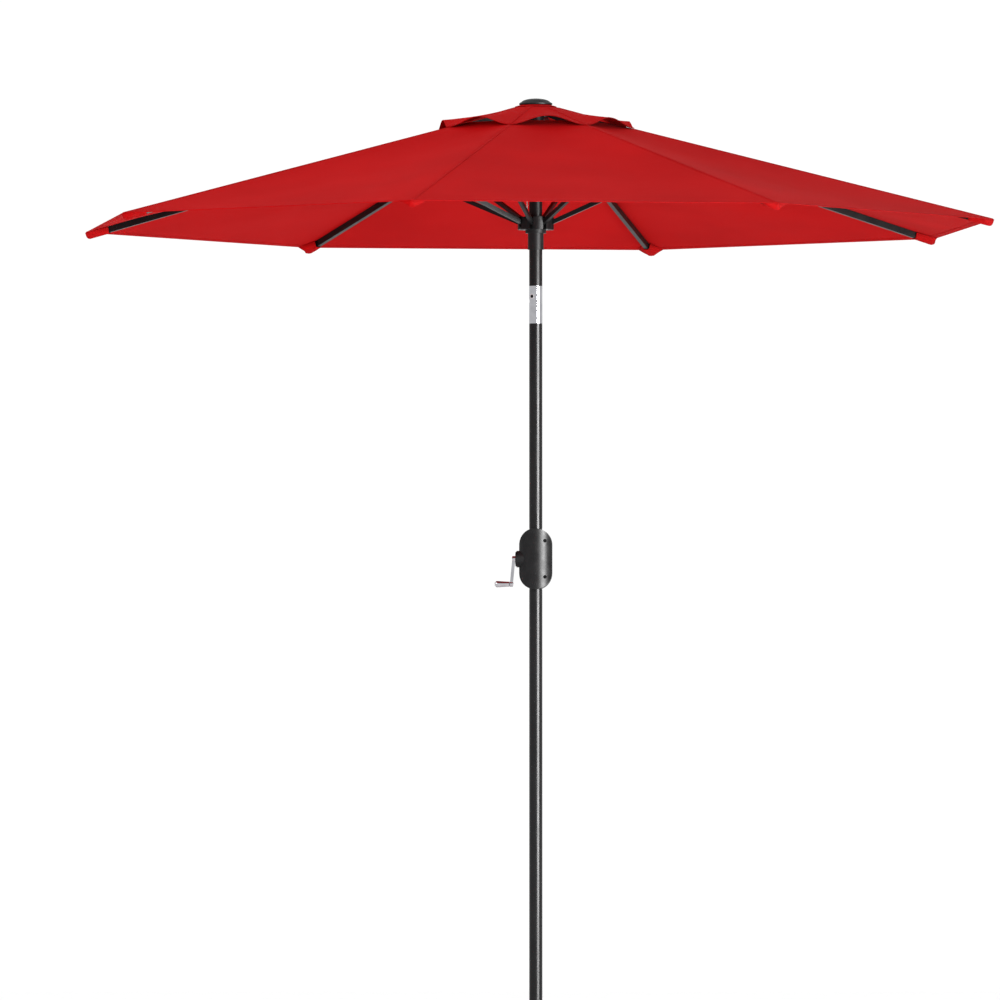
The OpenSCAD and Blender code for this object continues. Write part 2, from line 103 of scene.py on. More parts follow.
CANOPY_R = 1.350
MAIN_IN_R = 0.225
VENT_R = 0.293
VENT_IN_R = 0.046
VENT_TOP = HINGE_Z + 0.0156
CLOTH_T = 0.0010
CLOTH_LIFT = 0.010  # the cloth's underside above the line through a rib's hinge
RIB_HALF_W = 0.008
RIB_TIP_INSET = 0.016
RIB_LEN = (CANOPY_R - RIB_TIP_INSET - HINGE_R) / math.cos(RIB_SLOPE)
MAIN_SAG = 0.020  # at the middle of a gore
SAG_POWER = 0.8  # below 1 spreads the sag towards the hem and the crown
VENT_LIFT = 0.026  # of the vent cap's edge at the middle of a gore
VENT_GAP = 0.0028  # from the main cloth's underside to the vent cap's at its edge, over a rib
MAIN_RIPPLES = ((5.0, 0.0022), (14.0, 0.0009))  # noise scale and height of each
VENT_RIPPLE = (16.0, 0.0012)
HEM_FADE, CROWN_FADE, CROWN_RIPPLE = 6, 8, 0.1  # how fast the ripples die out, and what is left
HEM_W = 0.022
VENT_HEM_W = 0.012
HEM_STITCH_INSET = 0.004
BAND_T = 0.0008
SEAM_HALF_W = 0.006
SEAM_T = 0.0009
SEAM_STITCH = 0.7  # share of the seam's half width
EDGE_SIDE = math.sin(HALF_STEP) * math.cos(HALF_STEP)
EDGE_BACK = math.sin(HALF_STEP) ** 2


def cloth_z(r):
    """Height of the main cloth's underside over a rib, at distance r from the axis."""
    return HINGE_Z - (r - HINGE_R) * math.tan(RIB_SLOPE) + CLOTH_LIFT / math.cos(RIB_SLOPE)


def main_point(rib, side, r, u):
    """A point of the main sheet's underside: r is the corner distance, u runs from the rib to mid-gore."""
    sideways = EDGE_SIDE * r * u
    free = max(0.0, sideways - RIB_HALF_W) / max(EDGE_SIDE * r - RIB_HALF_W, 1e-6)
    span = (r - MAIN_IN_R) / (CANOPY_R - MAIN_IN_R)
    slack = math.sin(math.pi * min(max(span, 0.0), 1.0)) ** SAG_POWER
    sag = MAIN_SAG * math.sin(free * math.pi / 2) * slack
    p = rib.place(r * (1 - EDGE_BACK * u), side * sideways, cloth_z(r) - sag)
    ripple = sum(noise.noise(p * scale) * height for scale, height in MAIN_RIPPLES)
    near_hem = min(1.0, HEM_FADE * (1 - span))
    near_crown = min(1.0, max(span, 0.0) * CROWN_FADE + CROWN_RIPPLE)
    return p + UP * ripple * free * near_hem * near_crown


def vent_point(rib, side, r, u):
    """A point of the vent cap's underside, whose edge lifts between the ribs."""
    share = (r - VENT_IN_R) / (VENT_R - VENT_IN_R)
    edge_z = cloth_z(VENT_R) + VENT_GAP
    lift = VENT_LIFT * share * share * (1 - math.cos(math.pi * u)) / 2
    z = VENT_TOP + (edge_z - VENT_TOP) * share + lift
    p = rib.place(r * (1 - EDGE_BACK * u), side * EDGE_SIDE * r * u, z)
    scale, height = VENT_RIPPLE
    return p + UP * noise.noise(p * scale) * height * share * u


# ---------- materials ----------

NOISE_LOW, NOISE_HIGH = 0.3, 0.7  # most values of a noise texture lie between these
WAVE_RATE = 20  # a wave texture's turn per metre at scale 1, in radians
WEAVE_BANDS = 450
PAINT_SPECULAR = 0.12
METAL_SPECULAR = 0.5
CLOTH_SPECULAR = 0.04
CLOTH_ROUGHNESS = 0.85
CLOTH_SHADE_SCALE = 3.0
WEAVE_WOBBLE = 0.6
CORD_ROUGHNESS = 0.8
CORD_STRAND_SCALE = 120.0
FLOOR_ROUGHNESS = 0.9
# a bump's distance in metres and its strength
WEAVE_RELIEF = (0.00012, 0.6)
METAL_RELIEF = (0.00001, 0.12)
PLASTIC_RELIEF = (0.00003, 0.4)
BRAID_RELIEF = (0.0002, 0.6)
# noise scales of the colour, the gloss and the grain
PAINT_SCALES = (9.0, 25.0, 700.0)
PLASTIC_SCALES = (30.0, 60.0, 1400.0)
METAL_SCALES = (40.0, 55.0, 500.0)


def new_material(name):
    material = bpy.data.materials.new(name)
    material.use_nodes = True
    tree = material.node_tree
    return material, tree, tree.nodes["Principled BSDF"]


def node(tree, kind, **values):
    made = tree.nodes.new(kind)
    for key, value in values.items():
        setattr(made, key, value)
    return made


def noise_ramp(tree, vector, scale, low=0.0, high=1.0, detail=3.0):
    """A noise texture mapped to run from low to high."""
    texture = node(tree, "ShaderNodeTexNoise")
    texture.inputs["Scale"].default_value = scale
    texture.inputs["Detail"].default_value = detail
    tree.links.new(vector, texture.inputs["Vector"])
    ramp = node(tree, "ShaderNodeMapRange")
    ramp.inputs["From Min"].default_value = NOISE_LOW
    ramp.inputs["From Max"].default_value = NOISE_HIGH
    ramp.inputs["To Min"].default_value = low
    ramp.inputs["To Max"].default_value = high
    tree.links.new(texture.outputs["Fac"], ramp.inputs["Value"])
    return ramp.outputs["Result"]


def bump(tree, shader, height, distance, strength):
    made = node(tree, "ShaderNodeBump")
    made.inputs["Distance"].default_value = distance
    made.inputs["Strength"].default_value = strength
    tree.links.new(height, made.inputs["Height"])
    tree.links.new(made.outputs["Normal"], shader.inputs["Normal"])


def colour_mix(tree, factor, low, high):
    mix = node(tree, "ShaderNodeMix", data_type="RGBA")
    mix.inputs["A"].default_value = (*low, 1)
    mix.inputs["B"].default_value = (*high, 1)
    tree.links.new(factor, mix.inputs["Factor"])
    return mix.outputs["Result"]


def weave(tree, vector, bands):
    """Warp and weft crossing at right angles, each with that many bands per metre."""
    waves = []
    for direction in ("X", "Y"):
        wave = node(tree, "ShaderNodeTexWave", wave_type="BANDS", bands_direction=direction)
        wave.inputs["Scale"].default_value = bands / WAVE_RATE * 2 * math.pi
        wave.inputs["Distortion"].default_value = WEAVE_WOBBLE
        wave.inputs["Detail"].default_value = 1.0
        tree.links.new(vector, wave.inputs["Vector"])
        waves.append(wave.outputs["Fac"])
    both = node(tree, "ShaderNodeMath", operation="ADD")
    tree.links.new(waves[0], both.inputs[0])
    tree.links.new(waves[1], both.inputs[1])
    return both.outputs["Value"]


def cloth_material(name, low, high, see_through):
    """Plain-woven polyester: threads in the bump, cloudy shade, a share of the light through it."""
    material, tree, shader = new_material(name)
    place = node(tree, "ShaderNodeTexCoord")
    colour = colour_mix(tree, noise_ramp(tree, place.outputs["Object"], CLOTH_SHADE_SCALE), low, high)
    tree.links.new(colour, shader.inputs["Base Color"])
    shader.inputs["Roughness"].default_value = CLOTH_ROUGHNESS
    shader.inputs["Specular IOR Level"].default_value = CLOTH_SPECULAR
    bump(tree, shader, weave(tree, place.outputs["UV"], WEAVE_BANDS), *WEAVE_RELIEF)
    through = node(tree, "ShaderNodeBsdfTranslucent")
    tree.links.new(colour, through.inputs["Color"])
    mix = node(tree, "ShaderNodeMixShader")
    mix.inputs["Fac"].default_value = see_through
    tree.links.new(shader.outputs["BSDF"], mix.inputs[1])
    tree.links.new(through.outputs["BSDF"], mix.inputs[2])
    tree.links.new(mix.outputs["Shader"], tree.nodes["Material Output"].inputs["Surface"])
    return material


def mottled(name, low, high, gloss, scales, relief, specular=PAINT_SPECULAR, metallic=0.0):
    """Colour, gloss and grain that vary over the surface, each at its own noise scale."""
    colour_scale, gloss_scale, grain_scale = scales
    material, tree, shader = new_material(name)
    place = node(tree, "ShaderNodeTexCoord").outputs["Object"]
    colour = colour_mix(tree, noise_ramp(tree, place, colour_scale), low, high)
    tree.links.new(colour, shader.inputs["Base Color"])
    shader.inputs["Metallic"].default_value = metallic
    shader.inputs["Specular IOR Level"].default_value = specular
    tree.links.new(noise_ramp(tree, place, gloss_scale, *gloss), shader.inputs["Roughness"])
    bump(tree, shader, noise_ramp(tree, place, grain_scale, detail=2.0), *relief)
    return material


def coated_metal(name, low, high, roughness):
    """Powder coat: slight orange peel and patchy gloss."""
    gloss = (roughness - 0.05, roughness + 0.05)
    return mottled(name, low, high, gloss, PAINT_SCALES, METAL_RELIEF)


def moulded_plastic(name, low, high, roughness):
    """Moulded plastic with a fine spark-eroded grain."""
    gloss = (roughness - 0.04, roughness + 0.06)
    return mottled(name, low, high, gloss, PLASTIC_SCALES, PLASTIC_RELIEF)


def bright_metal(name, low, high, gloss):
    """Plated or brushed metal with faint smudges."""
    return mottled(name, low, high, gloss, METAL_SCALES, METAL_RELIEF,
                   specular=METAL_SPECULAR, metallic=1.0)


def cord_material(name):
    """Braided cord, with its strands in one slanted wave."""
    material, tree, shader = new_material(name)
    place = node(tree, "ShaderNodeTexCoord").outputs["Object"]
    wave = node(tree, "ShaderNodeTexWave", wave_type="BANDS", bands_direction="DIAGONAL")
    wave.inputs["Scale"].default_value = CORD_STRAND_SCALE
    wave.inputs["Distortion"].default_value = 1.0
    tree.links.new(place, wave.inputs["Vector"])
    colour = colour_mix(tree, wave.outputs["Fac"], (0.42, 0.42, 0.40), (0.62, 0.62, 0.6))
    tree.links.new(colour, shader.inputs["Base Color"])
    shader.inputs["Roughness"].default_value = CORD_ROUGHNESS
    bump(tree, shader, wave.outputs["Fac"], *BRAID_RELIEF)
    return material


CLOTH = cloth_material("canopy_cloth", (0.43, 0.0020, 0.0028), (0.50, 0.0036, 0.0046), 0.25)
THREAD = cloth_material("thread", (0.26, 0.003, 0.004), (0.33, 0.004, 0.005), 0.0)
SLOT_MATERIALS = {
    "pole_paint": coated_metal(
        "pole_paint", (0.007, 0.007, 0.0075), (0.011, 0.011, 0.0115), 0.30),
    "frame_paint": coated_metal(
        "frame_paint", (0.004, 0.004, 0.0045), (0.008, 0.008, 0.0085), 0.36),
    "housing_plastic": moulded_plastic(
        "housing_plastic", (0.006, 0.006, 0.0065), (0.010, 0.010, 0.0105), 0.36),
    "black_plastic": moulded_plastic(
        "black_plastic", (0.006, 0.006, 0.0065), (0.011, 0.011, 0.0115), 0.45),
    "chrome": bright_metal("chrome", (0.36, 0.36, 0.38), (0.44, 0.44, 0.46), (0.05, 0.11)),
    "steel": bright_metal("steel", (0.48, 0.48, 0.50), (0.56, 0.56, 0.57), (0.25, 0.37)),
    "nylon": moulded_plastic("nylon", (0.62, 0.61, 0.55), (0.68, 0.67, 0.61), 0.5),
    "cord": cord_material("cord"),
    "canopy_cloth": CLOTH,
}


def paint_cad_nodes():
    """Every CAD node takes the material of its slot in the record."""
    for part in frame["record"]["subparts"]:
        shown = frame["nodes"][part["node"]]
        shown.data.materials.clear()
        shown.data.materials.append(SLOT_MATERIALS[part["material_slot"]])


# ---------- cloth pieces ----------

STITCH_PITCH = 0.0052
STITCH_L = 0.0036
STITCH_W = 0.0009
STITCH_H = 0.0005
STITCH_SINK = 0.0002  # its underside below the cloth's face
STITCH_SHOULDER = 0.3  # where it is full width, as a share of its length from the middle
SHARP_ANGLE = math.radians(40)


class Shape:
    """Vertices, faces, flat UVs in metres and material numbers of one piece."""

    def __init__(self):
        self.points = []
        self.faces = []
        self.kinds = []
        self.flats = []

    def sheet(self, rows, thickness, flats):
        """A closed sheet on a grid of underside points, thickened upwards."""
        base = len(self.points)
        across = len(rows[0])
        low = [p for row in rows for p in row]
        count = len(low)
        self.points += low + [p + UP * thickness for p in low]
        self.flats += flats + flats
        last_i, last_j = len(rows) - 1, across - 1
        faces = []
        for i in range(last_i):
            for j in range(last_j):
                a = i * across + j
                b, c, d = a + 1, a + across + 1, a + across
                faces.append((a, d, c, b))
                faces.append((a + count, b + count, c + count, d + count))
        rim = list(range(last_j))
        rim += [i * across + last_j for i in range(last_i)]
        rim += [last_i * across + j for j in range(last_j, 0, -1)]
        rim += [i * across for i in range(last_i, 0, -1)]
        for a, b in zip(rim, rim[1:] + rim[:1]):
            faces.append((a, b, b + count, a + count))
        self.faces += [tuple(v + base for v in face) for face in faces]
        self.kinds += [0] * len(faces)

    def grid(self, rows, flats, closed=False):
        """An open grid of points, or one whose rows and columns both run round."""
        across = len(rows[0])
        self.points += [p for row in rows for p in row]
        self.flats += flats
        last = 0 if closed else 1
        for i in range(len(rows) - last):
            for j in range(across - last):
                a, b = i * across, (i + 1) % len(rows) * across
                k = (j + 1) % across
                self.faces.append((a + j, a + k, b + k, b + j))
                self.kinds.append(0)

    def stitches(self, line, up=UP):
        """A row of raised thread stitches along a line of points."""
        for here, ahead in stitch_places(line):
            along = (ahead - here).normalized()
            side = along.cross(up).normalized() * STITCH_W / 2
            tip, mid = along * STITCH_L / 2, along * STITCH_L * STITCH_SHOULDER
            middle = here + along * STITCH_L / 2
            base = len(self.points)
            ring = [middle - tip, middle - mid + side, middle + mid + side,
                    middle + tip, middle + mid - side, middle - mid - side]
            self.points += [p - up * STITCH_SINK for p in ring]
            self.points += [middle + mid + up * STITCH_H, middle - mid + up * STITCH_H]
            self.flats += [(p.x, p.y) for p in self.points[base:]]
            top_b, top_a = base + 6, base + 7
            faces = [(base, base + 1, top_a), (base + 1, base + 2, top_b, top_a),
                     (base + 2, base + 3, top_b), (base + 3, base + 4, top_b),
                     (base + 4, base + 5, top_a, top_b), (base + 5, base, top_a)]
            faces.append(tuple(base + i for i in (5, 4, 3, 2, 1, 0)))
            self.faces += faces
            self.kinds += [1] * len(faces)

    def make(self, name, materials):
        mesh = bpy.data.meshes.new(name)
        mesh.from_pydata([tuple(p) for p in self.points], [], self.faces)
        layer = mesh.uv_layers.new(name="UVMap")
        for loop in mesh.loops:
            layer.data[loop.index].uv = self.flats[loop.vertex_index]
        for material in materials:
            mesh.materials.append(material)
        for face, kind in zip(mesh.polygons, self.kinds):
            face.material_index = kind
        tidy_faces(mesh)
        return new_object(name, mesh)


def new_object(name, data):
    made = bpy.data.objects.new(name, data)
    bpy.context.scene.collection.objects.link(made)
    return made


def stitch_places(line):
    """Pairs of points a stitch apart along a line, one every STITCH_PITCH."""
    places = []
    carried = STITCH_PITCH / 2
    for a, b in zip(line, line[1:]):
        length = (b - a).length
        if length < 1e-9:
            continue
        step = (b - a) / length
        while carried < length:
            here = a + step * carried
            places.append((here, here + step * STITCH_L))
            carried += STITCH_PITCH
        carried -= length
    return places


def tidy_faces(mesh):
    """Outward normals and smooth faces, sharp where the rim meets the sheet."""
    work = bmesh.new()
    work.from_mesh(mesh)
    bmesh.ops.recalc_face_normals(work, faces=work.faces)
    work.to_mesh(mesh)
    work.free()
    mesh.shade_smooth()
    mesh.set_sharp_from_angle(angle=SHARP_ANGLE)


def gather(piece, rib):
    """The piece rides on its rib's body, with a mesh of its own."""
    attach(piece, rib.body)
    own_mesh(piece)


def ride_rib(piece, rib):
    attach(piece, rib.body)


def spread(low, high, steps):
    return [low + (high - low) * i / steps for i in range(steps + 1)]


FLAT_WIDTH = math.sin(HALF_STEP)
FLAT_LENGTH = math.hypot(math.cos(HALF_STEP), math.tan(RIB_SLOPE))


def flat_of(r, u):
    """Where a point of a half gore lies on the flat cut, in metres."""
    return (FLAT_WIDTH * r * (1 - u), FLAT_LENGTH * r)


def flat_size(r_in, r_out):
    """The half gore's width, length and area when flat."""
    width = FLAT_WIDTH * r_out
    length = FLAT_LENGTH * (r_out - r_in)
    return (width, length), length * FLAT_WIDTH * (r_in + r_out) / 2


def add_sheet(shape, point, rib, side, r_values, u_values, thickness, lift=0.0):
    rows = [[point(rib, side, r, u) + UP * lift for u in u_values] for r in r_values]
    shape.sheet(rows, thickness, [flat_of(r, u) for r in r_values for u in u_values])


def half_gore(name, point, rib, side, r_values, u_values):
    shape = Shape()
    add_sheet(shape, point, rib, side, r_values, u_values, CLOTH_T)
    return shape.make(name, [CLOTH])


def hem(name, point, rib, side, r_edge, width, u_values):
    """The folded and stitched band under a sheet's edge."""
    shape = Shape()
    add_sheet(shape, point, rib, side, spread(r_edge - width, r_edge, 2), u_values, BAND_T, -BAND_T)
    for inset in (HEM_STITCH_INSET, width - HEM_STITCH_INSET):
        line = [point(rib, side, r_edge - inset, u) for u in u_values]
        shape.stitches([p + UP * CLOTH_T for p in line])
        shape.stitches([p - UP * BAND_T for p in line], up=-UP)
    return shape.make(name, [CLOTH, THREAD])


def seam(name, point, rib, r_values):
    """The flat-felled seam over a rib, with a stitch row near each edge."""
    shape = Shape()
    offsets = spread(-SEAM_HALF_W, SEAM_HALF_W, 4)

    def on_cloth(r, sideways):
        return point(rib, 1 if sideways >= 0 else -1, r, abs(sideways) / (EDGE_SIDE * r))

    rows = [[on_cloth(r, t) + UP * CLOTH_T for t in offsets] for r in r_values]
    shape.sheet(rows, SEAM_T, [(t, r) for r in r_values for t in offsets])
    for t in (-SEAM_HALF_W * SEAM_STITCH, SEAM_HALF_W * SEAM_STITCH):
        shape.stitches([on_cloth(r, t) + UP * (CLOTH_T + SEAM_T) for r in r_values])
    made = shape.make(name, [CLOTH, THREAD])
    ride_rib(made, rib)
    return made


# ---------- tip pockets ----------

POCKET_L = 0.056  # from its mouth to the rib's end
POCKET_CORNER = 0.0165  # from the rib's end to the point of the pocket
POCKET_MOUTH_HALF_W = 0.0125
POCKET_FLARE, POCKET_TAPER = 0.45, 2.2  # how fast it widens, and then narrows to its point
POCKET_CORE, POCKET_CORE_SHARE = 0.0080, 0.8  # half width round the rib, and its largest share
POCKET_T = 0.0010
POCKET_LAP = 0.0012  # its edge below the main sheet's underside
POCKET_BELLY = 0.0006
POCKET_EDGE_INSET = 0.0006  # from the canopy's corner
POCKET_UV_STEP = 0.008
# distance from the mouth, and depth under the line through the rib's hinge
POCKET_STEPS = (
    (0.0, 0.0112), (0.008, 0.0114), (0.018, 0.0112), (0.028, 0.0114), (0.038, 0.0112),
    (0.048, 0.0112), (0.056, 0.0113), (0.062, 0.0112), (0.066, 0.0096), (0.069, 0.0050),
    (0.0712, -0.0086),
)


def pocket(name, rib):
    """The cloth corner pocket under the canopy that a rib's tip is pushed into."""
    mouth, corner = RIB_LEN - POCKET_L, RIB_LEN + POCKET_CORNER
    rows = []
    for ahead, depth in POCKET_STEPS:
        s = mouth + ahead
        half = min(POCKET_MOUTH_HALF_W + POCKET_FLARE * ahead, POCKET_TAPER * (corner - s))
        spot = rib.hinge + rib.along * s
        core = min(POCKET_CORE, half * POCKET_CORE_SHARE)
        row = []
        for side in (-1, 1):
            r = min(HINGE_R + s * math.cos(RIB_SLOPE) + half * math.tan(HALF_STEP),
                    CANOPY_R - POCKET_EDGE_INSET)
            edge = main_point(rib, side, r, half / (EDGE_SIDE * r)) - UP * POCKET_LAP
            knee = spot + rib.across * side * core - rib.top * (depth - POCKET_LAP)
            belly = edge.lerp(knee, 0.5) - rib.top * POCKET_BELLY
            flank = [edge, belly, knee]
            row += flank if side < 0 else [spot - rib.top * depth] + flank[::-1]
        rows.append(row)
    shape = Shape()
    shape.grid(rows, [(POCKET_UV_STEP * j, ahead)
                      for ahead, _ in POCKET_STEPS for j in range(len(rows[0]))])
    made = shape.make(name, [CLOTH])
    skin = made.modifiers.new("thickness", "SOLIDIFY")
    skin.thickness = POCKET_T
    skin.offset = 0.0
    ride_rib(made, rib)
    return made


# ---------- tie strap ----------

STRAP_RIB = 6
STRAP_IN_R, STRAP_OUT_R = 0.86, 1.24
STRAP_NEAR, STRAP_FAR = 0.020, 0.038  # its edges, measured across from the rib
STRAP_T = 0.0014
STRAP_DROP = 0.0034  # its underside below the main sheet's
STRAP_GRID = (48, 4)  # steps along and across
STRAP_CROSS_ROWS = (0.866, 0.872, 0.886, 0.892)  # where its rows of stitches lie
STRAP_CROSS_INSET, STRAP_LONG_INSET = 0.002, 0.0025  # of the rows across and along
STRAP_ROW_STEPS = 4
BUCKLE_R, BUCKLE_MIDDLE, BUCKLE_DROP = 1.235, 0.029, 0.0027
BUCKLE_AIM_R = 1.26  # the loop lies in line with the strap as far as this
BUCKLE_HALF_L, BUCKLE_HALF_W, BUCKLE_CORNER = 0.010, 0.0145, 0.003
BUCKLE_WIRE_R = 0.0016
BUCKLE_UV_STEP = (0.003, 0.0008)
CORNER_STEPS, WIRE_SIDES = 4, 12


def strap_point(rib, r, t, drop=STRAP_DROP):
    """A point under the main sheet, t across from the rib and drop below the cloth."""
    return main_point(rib, 1, r, t / (EDGE_SIDE * r)) - UP * drop


def tie_strap(rib):
    """The webbing strap that ties the closed canopy, lying under a gore and box stitched to it."""
    shape = Shape()
    r_values = spread(STRAP_IN_R, STRAP_OUT_R, STRAP_GRID[0])
    t_values = spread(STRAP_NEAR, STRAP_FAR, STRAP_GRID[1])
    rows = [[strap_point(rib, r, t) for t in t_values] for r in r_values]
    shape.sheet(rows, STRAP_T, [(r, t) for r in r_values for t in t_values])
    cross_row = spread(STRAP_NEAR + STRAP_CROSS_INSET, STRAP_FAR - STRAP_CROSS_INSET, STRAP_ROW_STEPS)
    long_row = spread(STRAP_CROSS_ROWS[0], STRAP_CROSS_ROWS[-1], STRAP_ROW_STEPS)
    for r in STRAP_CROSS_ROWS:
        shape.stitches([strap_point(rib, r, t) for t in cross_row], up=-UP)
    for t in (STRAP_NEAR + STRAP_LONG_INSET, STRAP_FAR - STRAP_LONG_INSET):
        shape.stitches([strap_point(rib, r, t) for r in long_row], up=-UP)
    return shape.make("tie_strap", [CLOTH, THREAD])


def strap_buckle(rib):
    """The wire loop at the strap's outer end, a rectangle with round corners."""
    middle = strap_point(rib, BUCKLE_R, BUCKLE_MIDDLE, BUCKLE_DROP)
    along = (strap_point(rib, BUCKLE_AIM_R, BUCKLE_MIDDLE, BUCKLE_DROP) - middle).normalized()
    across = (strap_point(rib, BUCKLE_R, STRAP_FAR, BUCKLE_DROP) - middle).normalized()
    normal = along.cross(across).normalized()
    corner_x, corner_y = BUCKLE_HALF_L - BUCKLE_CORNER, BUCKLE_HALF_W - BUCKLE_CORNER
    loop = []
    for x_sign, y_sign, turn in ((-1, -1, 180), (1, -1, 270), (1, 1, 0), (-1, 1, 90)):
        for step in range(CORNER_STEPS + 1):
            a = math.radians(turn + step * 90 / CORNER_STEPS)
            x = x_sign * corner_x + BUCKLE_CORNER * math.cos(a)
            y = y_sign * corner_y + BUCKLE_CORNER * math.sin(a)
            loop.append(middle + along * x + across * y)
    rows = []
    for i, here in enumerate(loop):
        flow = (loop[(i + 1) % len(loop)] - loop[i - 1]).normalized()
        outward = flow.cross(normal)
        angles = [2 * math.pi * j / WIRE_SIDES for j in range(WIRE_SIDES)]
        rows.append([here + (outward * math.cos(a) + normal * math.sin(a)) * BUCKLE_WIRE_R
                     for a in angles])
    shape = Shape()
    u_step, v_step = BUCKLE_UV_STEP
    flats = [(i * u_step, j * v_step) for i in range(len(loop)) for j in range(WIRE_SIDES)]
    shape.grid(rows, flats, closed=True)
    return shape.make("strap_buckle", [SLOT_MATERIALS["steel"]])


def strap_parts(rib):
    strap, buckle = tie_strap(rib), strap_buckle(rib)
    for piece in (strap, buckle):
        gather(piece, rib)
    return [strap, buckle]


# ---------- canopy ----------

MAIN_GRID = (56, 20)  # steps down the gore and across half of it
VENT_GRID = (20, 16)
SEAM_IN_R, SEAM_OUT_R, SEAM_STEPS = VENT_R + 0.002, CANOPY_R - 0.001, 40
VENT_SEAM_IN_R, VENT_SEAM_STEPS = 0.07, 10


def gathered_half(names, point, rib, side, radii, hem_width, grid):
    """Half a gore and its hem, with the size that it is cut to when flat."""
    (name, hem_name), (r_in, r_out), (down, across) = names, radii, grid
    u_values = spread(0, 1, across)
    cloth = half_gore(name, point, rib, side, spread(r_in, r_out, down), u_values)
    band = hem(hem_name, point, rib, side, r_out, hem_width, u_values)
    for piece in (cloth, band):
        gather(piece, rib)
    return cloth, band, flat_size(r_in, r_out)


def build_canopy():
    """Eight gores and eight vent gores, as halves, with their hems, seams and tip pockets."""
    for rib in RIB_LIST:
        extras = [
            seam(f"seam_{rib.number}", main_point, rib, spread(SEAM_IN_R, SEAM_OUT_R, SEAM_STEPS)),
            pocket(f"tip_pocket_{rib.number}", rib),
        ]
        vent_extras = [seam(f"vent_seam_{rib.number}", vent_point, rib,
                            spread(VENT_SEAM_IN_R, VENT_R, VENT_SEAM_STEPS))]
        for side, word in ((-1, "a"), (1, "b")):
            tag = f"{rib.number}{word}"
            main, main_hem, (size, area) = gathered_half(
                (f"gore_{tag}", f"hem_{tag}"), main_point, rib, side,
                (MAIN_IN_R, CANOPY_R), HEM_W, MAIN_GRID)
            vent, vent_hem, (vent_size, vent_area) = gathered_half(
                (f"vent_{tag}", f"vent_hem_{tag}"), vent_point, rib, side,
                (VENT_IN_R, VENT_R), VENT_HEM_W, VENT_GRID)
            if (rib.number, word) == (STRAP_RIB, "b"):
                extras += strap_parts(rib)
            if word == "a":
                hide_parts(f"canopy_panel_{rib.number}")
            extras, vent_extras = [], []


PATCH_R = 0.060
PATCH_T = 0.0012
PATCH_FLAT_R, PATCH_DROOP = 0.046, 0.28  # it slopes down outside this radius
PATCH_RINGS = (0.008, 0.030, PATCH_FLAT_R, 0.049, 0.053, 0.057, PATCH_R)
PATCH_STITCH_INSET = 0.0035
PATCH_STEPS = 96


def build_patch():
    """The stitched round patch over the crown, under the finial."""
    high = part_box("canopy_patch")[1]
    shape = Shape()

    def ring(r, lift=0.0):
        z = high.z - PATCH_T - max(0.0, r - PATCH_FLAT_R) * PATCH_DROOP
        angles = spread(0, 2 * math.pi, PATCH_STEPS)
        return [Vector((r * math.cos(a), r * math.sin(a), z + lift)) for a in angles]

    rows = [ring(r) for r in PATCH_RINGS]
    shape.sheet(rows, PATCH_T, [(p.x, p.y) for row in rows for p in row])
    shape.stitches(ring(PATCH_R - PATCH_STITCH_INSET, PATCH_T))
    patch = shape.make("crown_patch", [CLOTH, THREAD])
    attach(patch, "upper")
    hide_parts("canopy_patch")


# ---------- lift cord and button spring ----------

CORD_R = 0.0012
CORD_ROUNDNESS = 3
CORD_X = 0.0025  # off the poles' axis, so that it passes the tilt joint's sleeve
SPOOL_Y = -0.0126  # where the cord leaves the spool
SPOOL_RISE = 0.040
GUIDE_BELOW, GUIDE_ABOVE, GUIDE_STEPS = 0.138, 0.090, 24  # the finely stepped part, about the tilt
WHEEL_RISE = 0.040
WHEEL_STEPS = 12
RUNNER_SINK = 0.009  # its end below the runner hub's top


def build_lift_cord():
    """The cord from the crank's spool up inside both poles, over the crown's pulley and down to the runner."""
    wheel = Vector(JOINTS["pulley_turn"]["pos_m"])
    out = Vector((wheel.x, wheel.y, 0)).normalized()
    wheel_r = math.hypot(wheel.x, wheel.y)
    crank_z = JOINTS["crank_turn"]["pos_m"][2]
    tilt_z = JOINTS["canopy_tilt"]["pos_m"][2]
    route = [Vector((CORD_X, SPOOL_Y, crank_z)), Vector((CORD_X, SPOOL_Y, crank_z + SPOOL_RISE))]
    route += [Vector((CORD_X, 0, z))
              for z in spread(tilt_z - GUIDE_BELOW, tilt_z + GUIDE_ABOVE, GUIDE_STEPS)]
    route.append(Vector((0, 0, wheel.z - WHEEL_RISE)))
    for i in range(WHEEL_STEPS + 1):
        a = math.pi * (1 - i / WHEEL_STEPS)
        route.append(out * wheel_r * (1 + math.cos(a)) + UP * (wheel.z + wheel_r * math.sin(a)))
    runner_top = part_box("runner_hub")[1].z
    route.append(out * 2 * wheel_r + UP * (runner_top - RUNNER_SINK))
    curve = bpy.data.curves.new("lift_cord_route", "CURVE")
    curve.dimensions = "3D"
    curve.bevel_depth = CORD_R
    curve.bevel_resolution = CORD_ROUNDNESS
    curve.use_fill_caps = True
    spline = curve.splines.new("POLY")
    spline.points.add(len(route) - 1)
    for point, place in zip(spline.points, route):
        point.co = (*place, 1)
    holder = bpy.data.objects.new("lift_cord_route", curve)
    mesh = bpy.data.meshes.new_from_object(holder)
    bpy.data.objects.remove(holder)
    mesh.name = "lift_cord_braid"
    mesh.materials.clear()
    mesh.materials.append(SLOT_MATERIALS["cord"])
    braid = new_object("lift_cord_braid", mesh)
    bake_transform(braid)
    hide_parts("lift_cord")


def build_button_spring():
    """The tilt button's coil, a copy of its CAD node's mesh carried by the pole; the real coil shortens
    against the rear plug as the button goes in.
    """
    coil = new_object("button_spring", frame["nodes"]["tilt_spring"].data.copy())
    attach(coil, "pole")
    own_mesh(coil)
    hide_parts("tilt_spring")


# ---------- camera, light and floor ----------

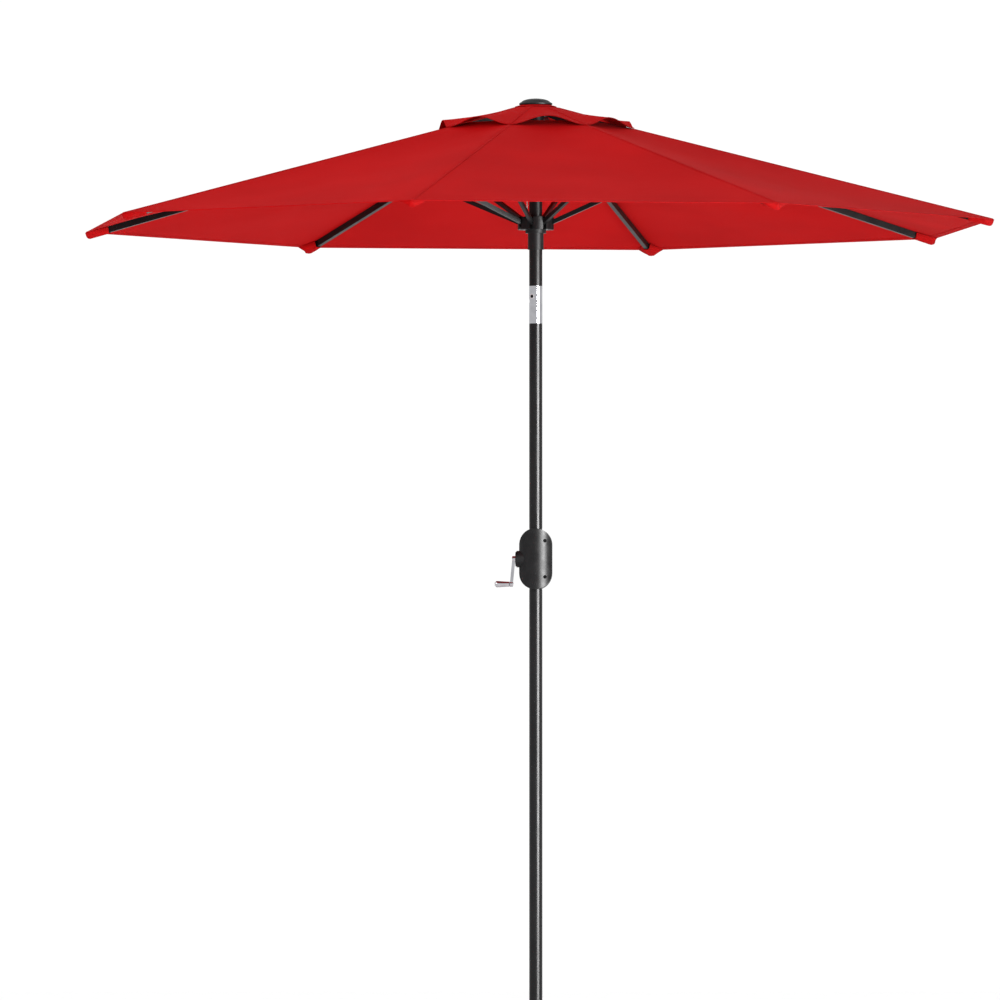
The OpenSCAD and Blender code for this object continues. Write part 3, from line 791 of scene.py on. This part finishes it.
IMAGE_PX = 1000
PIXELS_PER_METRE = 348.0
SENSOR_MM = 36.0
VIEW_DISTANCE = 40.0
VIEW_END = 200.0
VIEW_YAW = math.radians(4.0)
VIEW_RISE = math.radians(2.0)
VIEW_AIM = Vector((-0.103, 0.0, 1.445))
FLOOR_HALF = 90.0
FLOOR_GREY = 0.965
WORLD_STRENGTH = 1.03


def build_camera():
    """A long lens at the photograph's angle, a little below the level of what it aims at."""
    data = bpy.data.cameras.new("camera")
    data.sensor_width = SENSOR_MM
    data.lens = PIXELS_PER_METRE * VIEW_DISTANCE / IMAGE_PX * data.sensor_width
    data.clip_end = VIEW_END
    camera = new_object("camera", data)
    back = Vector((
        math.sin(VIEW_YAW) * math.cos(VIEW_RISE),
        -math.cos(VIEW_YAW) * math.cos(VIEW_RISE),
        -math.sin(VIEW_RISE),
    ))
    camera.location = VIEW_AIM + back * VIEW_DISTANCE
    camera.rotation_euler = (-back).to_track_quat("-Z", "Y").to_euler()
    bpy.context.scene.camera = camera


def area_light(name, place, aim, size, power, diffuse=True, glossy=True):
    data = bpy.data.lights.new(name, "AREA")
    data.shape = "RECTANGLE"
    data.size, data.size_y = size
    data.energy = power
    light = new_object(name, data)
    light.location = place
    light.rotation_euler = (Vector(aim) - Vector(place)).to_track_quat("-Z", "Y").to_euler()
    light.visible_diffuse = diffuse
    light.visible_glossy = glossy


def build_studio():
    """A pale floor under a white sky, a key light, a strip for the pole's gloss and a fill from below."""
    floor_mesh = bpy.data.meshes.new("floor")
    corners = [(x * FLOOR_HALF, y * FLOOR_HALF, 0) for x, y in ((-1, -1), (1, -1), (1, 1), (-1, 1))]
    floor_mesh.from_pydata(corners, [], [(0, 1, 2, 3)])
    floor = new_object("floor", floor_mesh)
    material, _, shader = new_material("floor_paint")
    shader.inputs["Base Color"].default_value = (FLOOR_GREY, FLOOR_GREY, FLOOR_GREY, 1)
    shader.inputs["Roughness"].default_value = FLOOR_ROUGHNESS
    floor_mesh.materials.append(material)
    world = bpy.data.worlds.new("studio")
    world.use_nodes = True
    background = world.node_tree.nodes["Background"]
    background.inputs["Color"].default_value = (1, 1, 1, 1)
    background.inputs["Strength"].default_value = WORLD_STRENGTH
    bpy.context.scene.world = world
    bpy.context.scene.view_settings.view_transform = "Standard"
    area_light("key", (-3.5, -5.0, 5.5), (0, 0, 1.6), (3.0, 3.0), 160)
    area_light("strip", (3.6, -3.4, 1.5), (0, 0, 1.5), (2.4, 3.6), 2200, diffuse=False)
    area_light("fill", (3.0, -5.0, 0.3), (0, 0, 2.2), (3.0, 2.0), 280, glossy=False)


paint_cad_nodes()
build_canopy()
build_patch()
build_lift_cord()
build_button_spring()
build_camera()
build_studio()
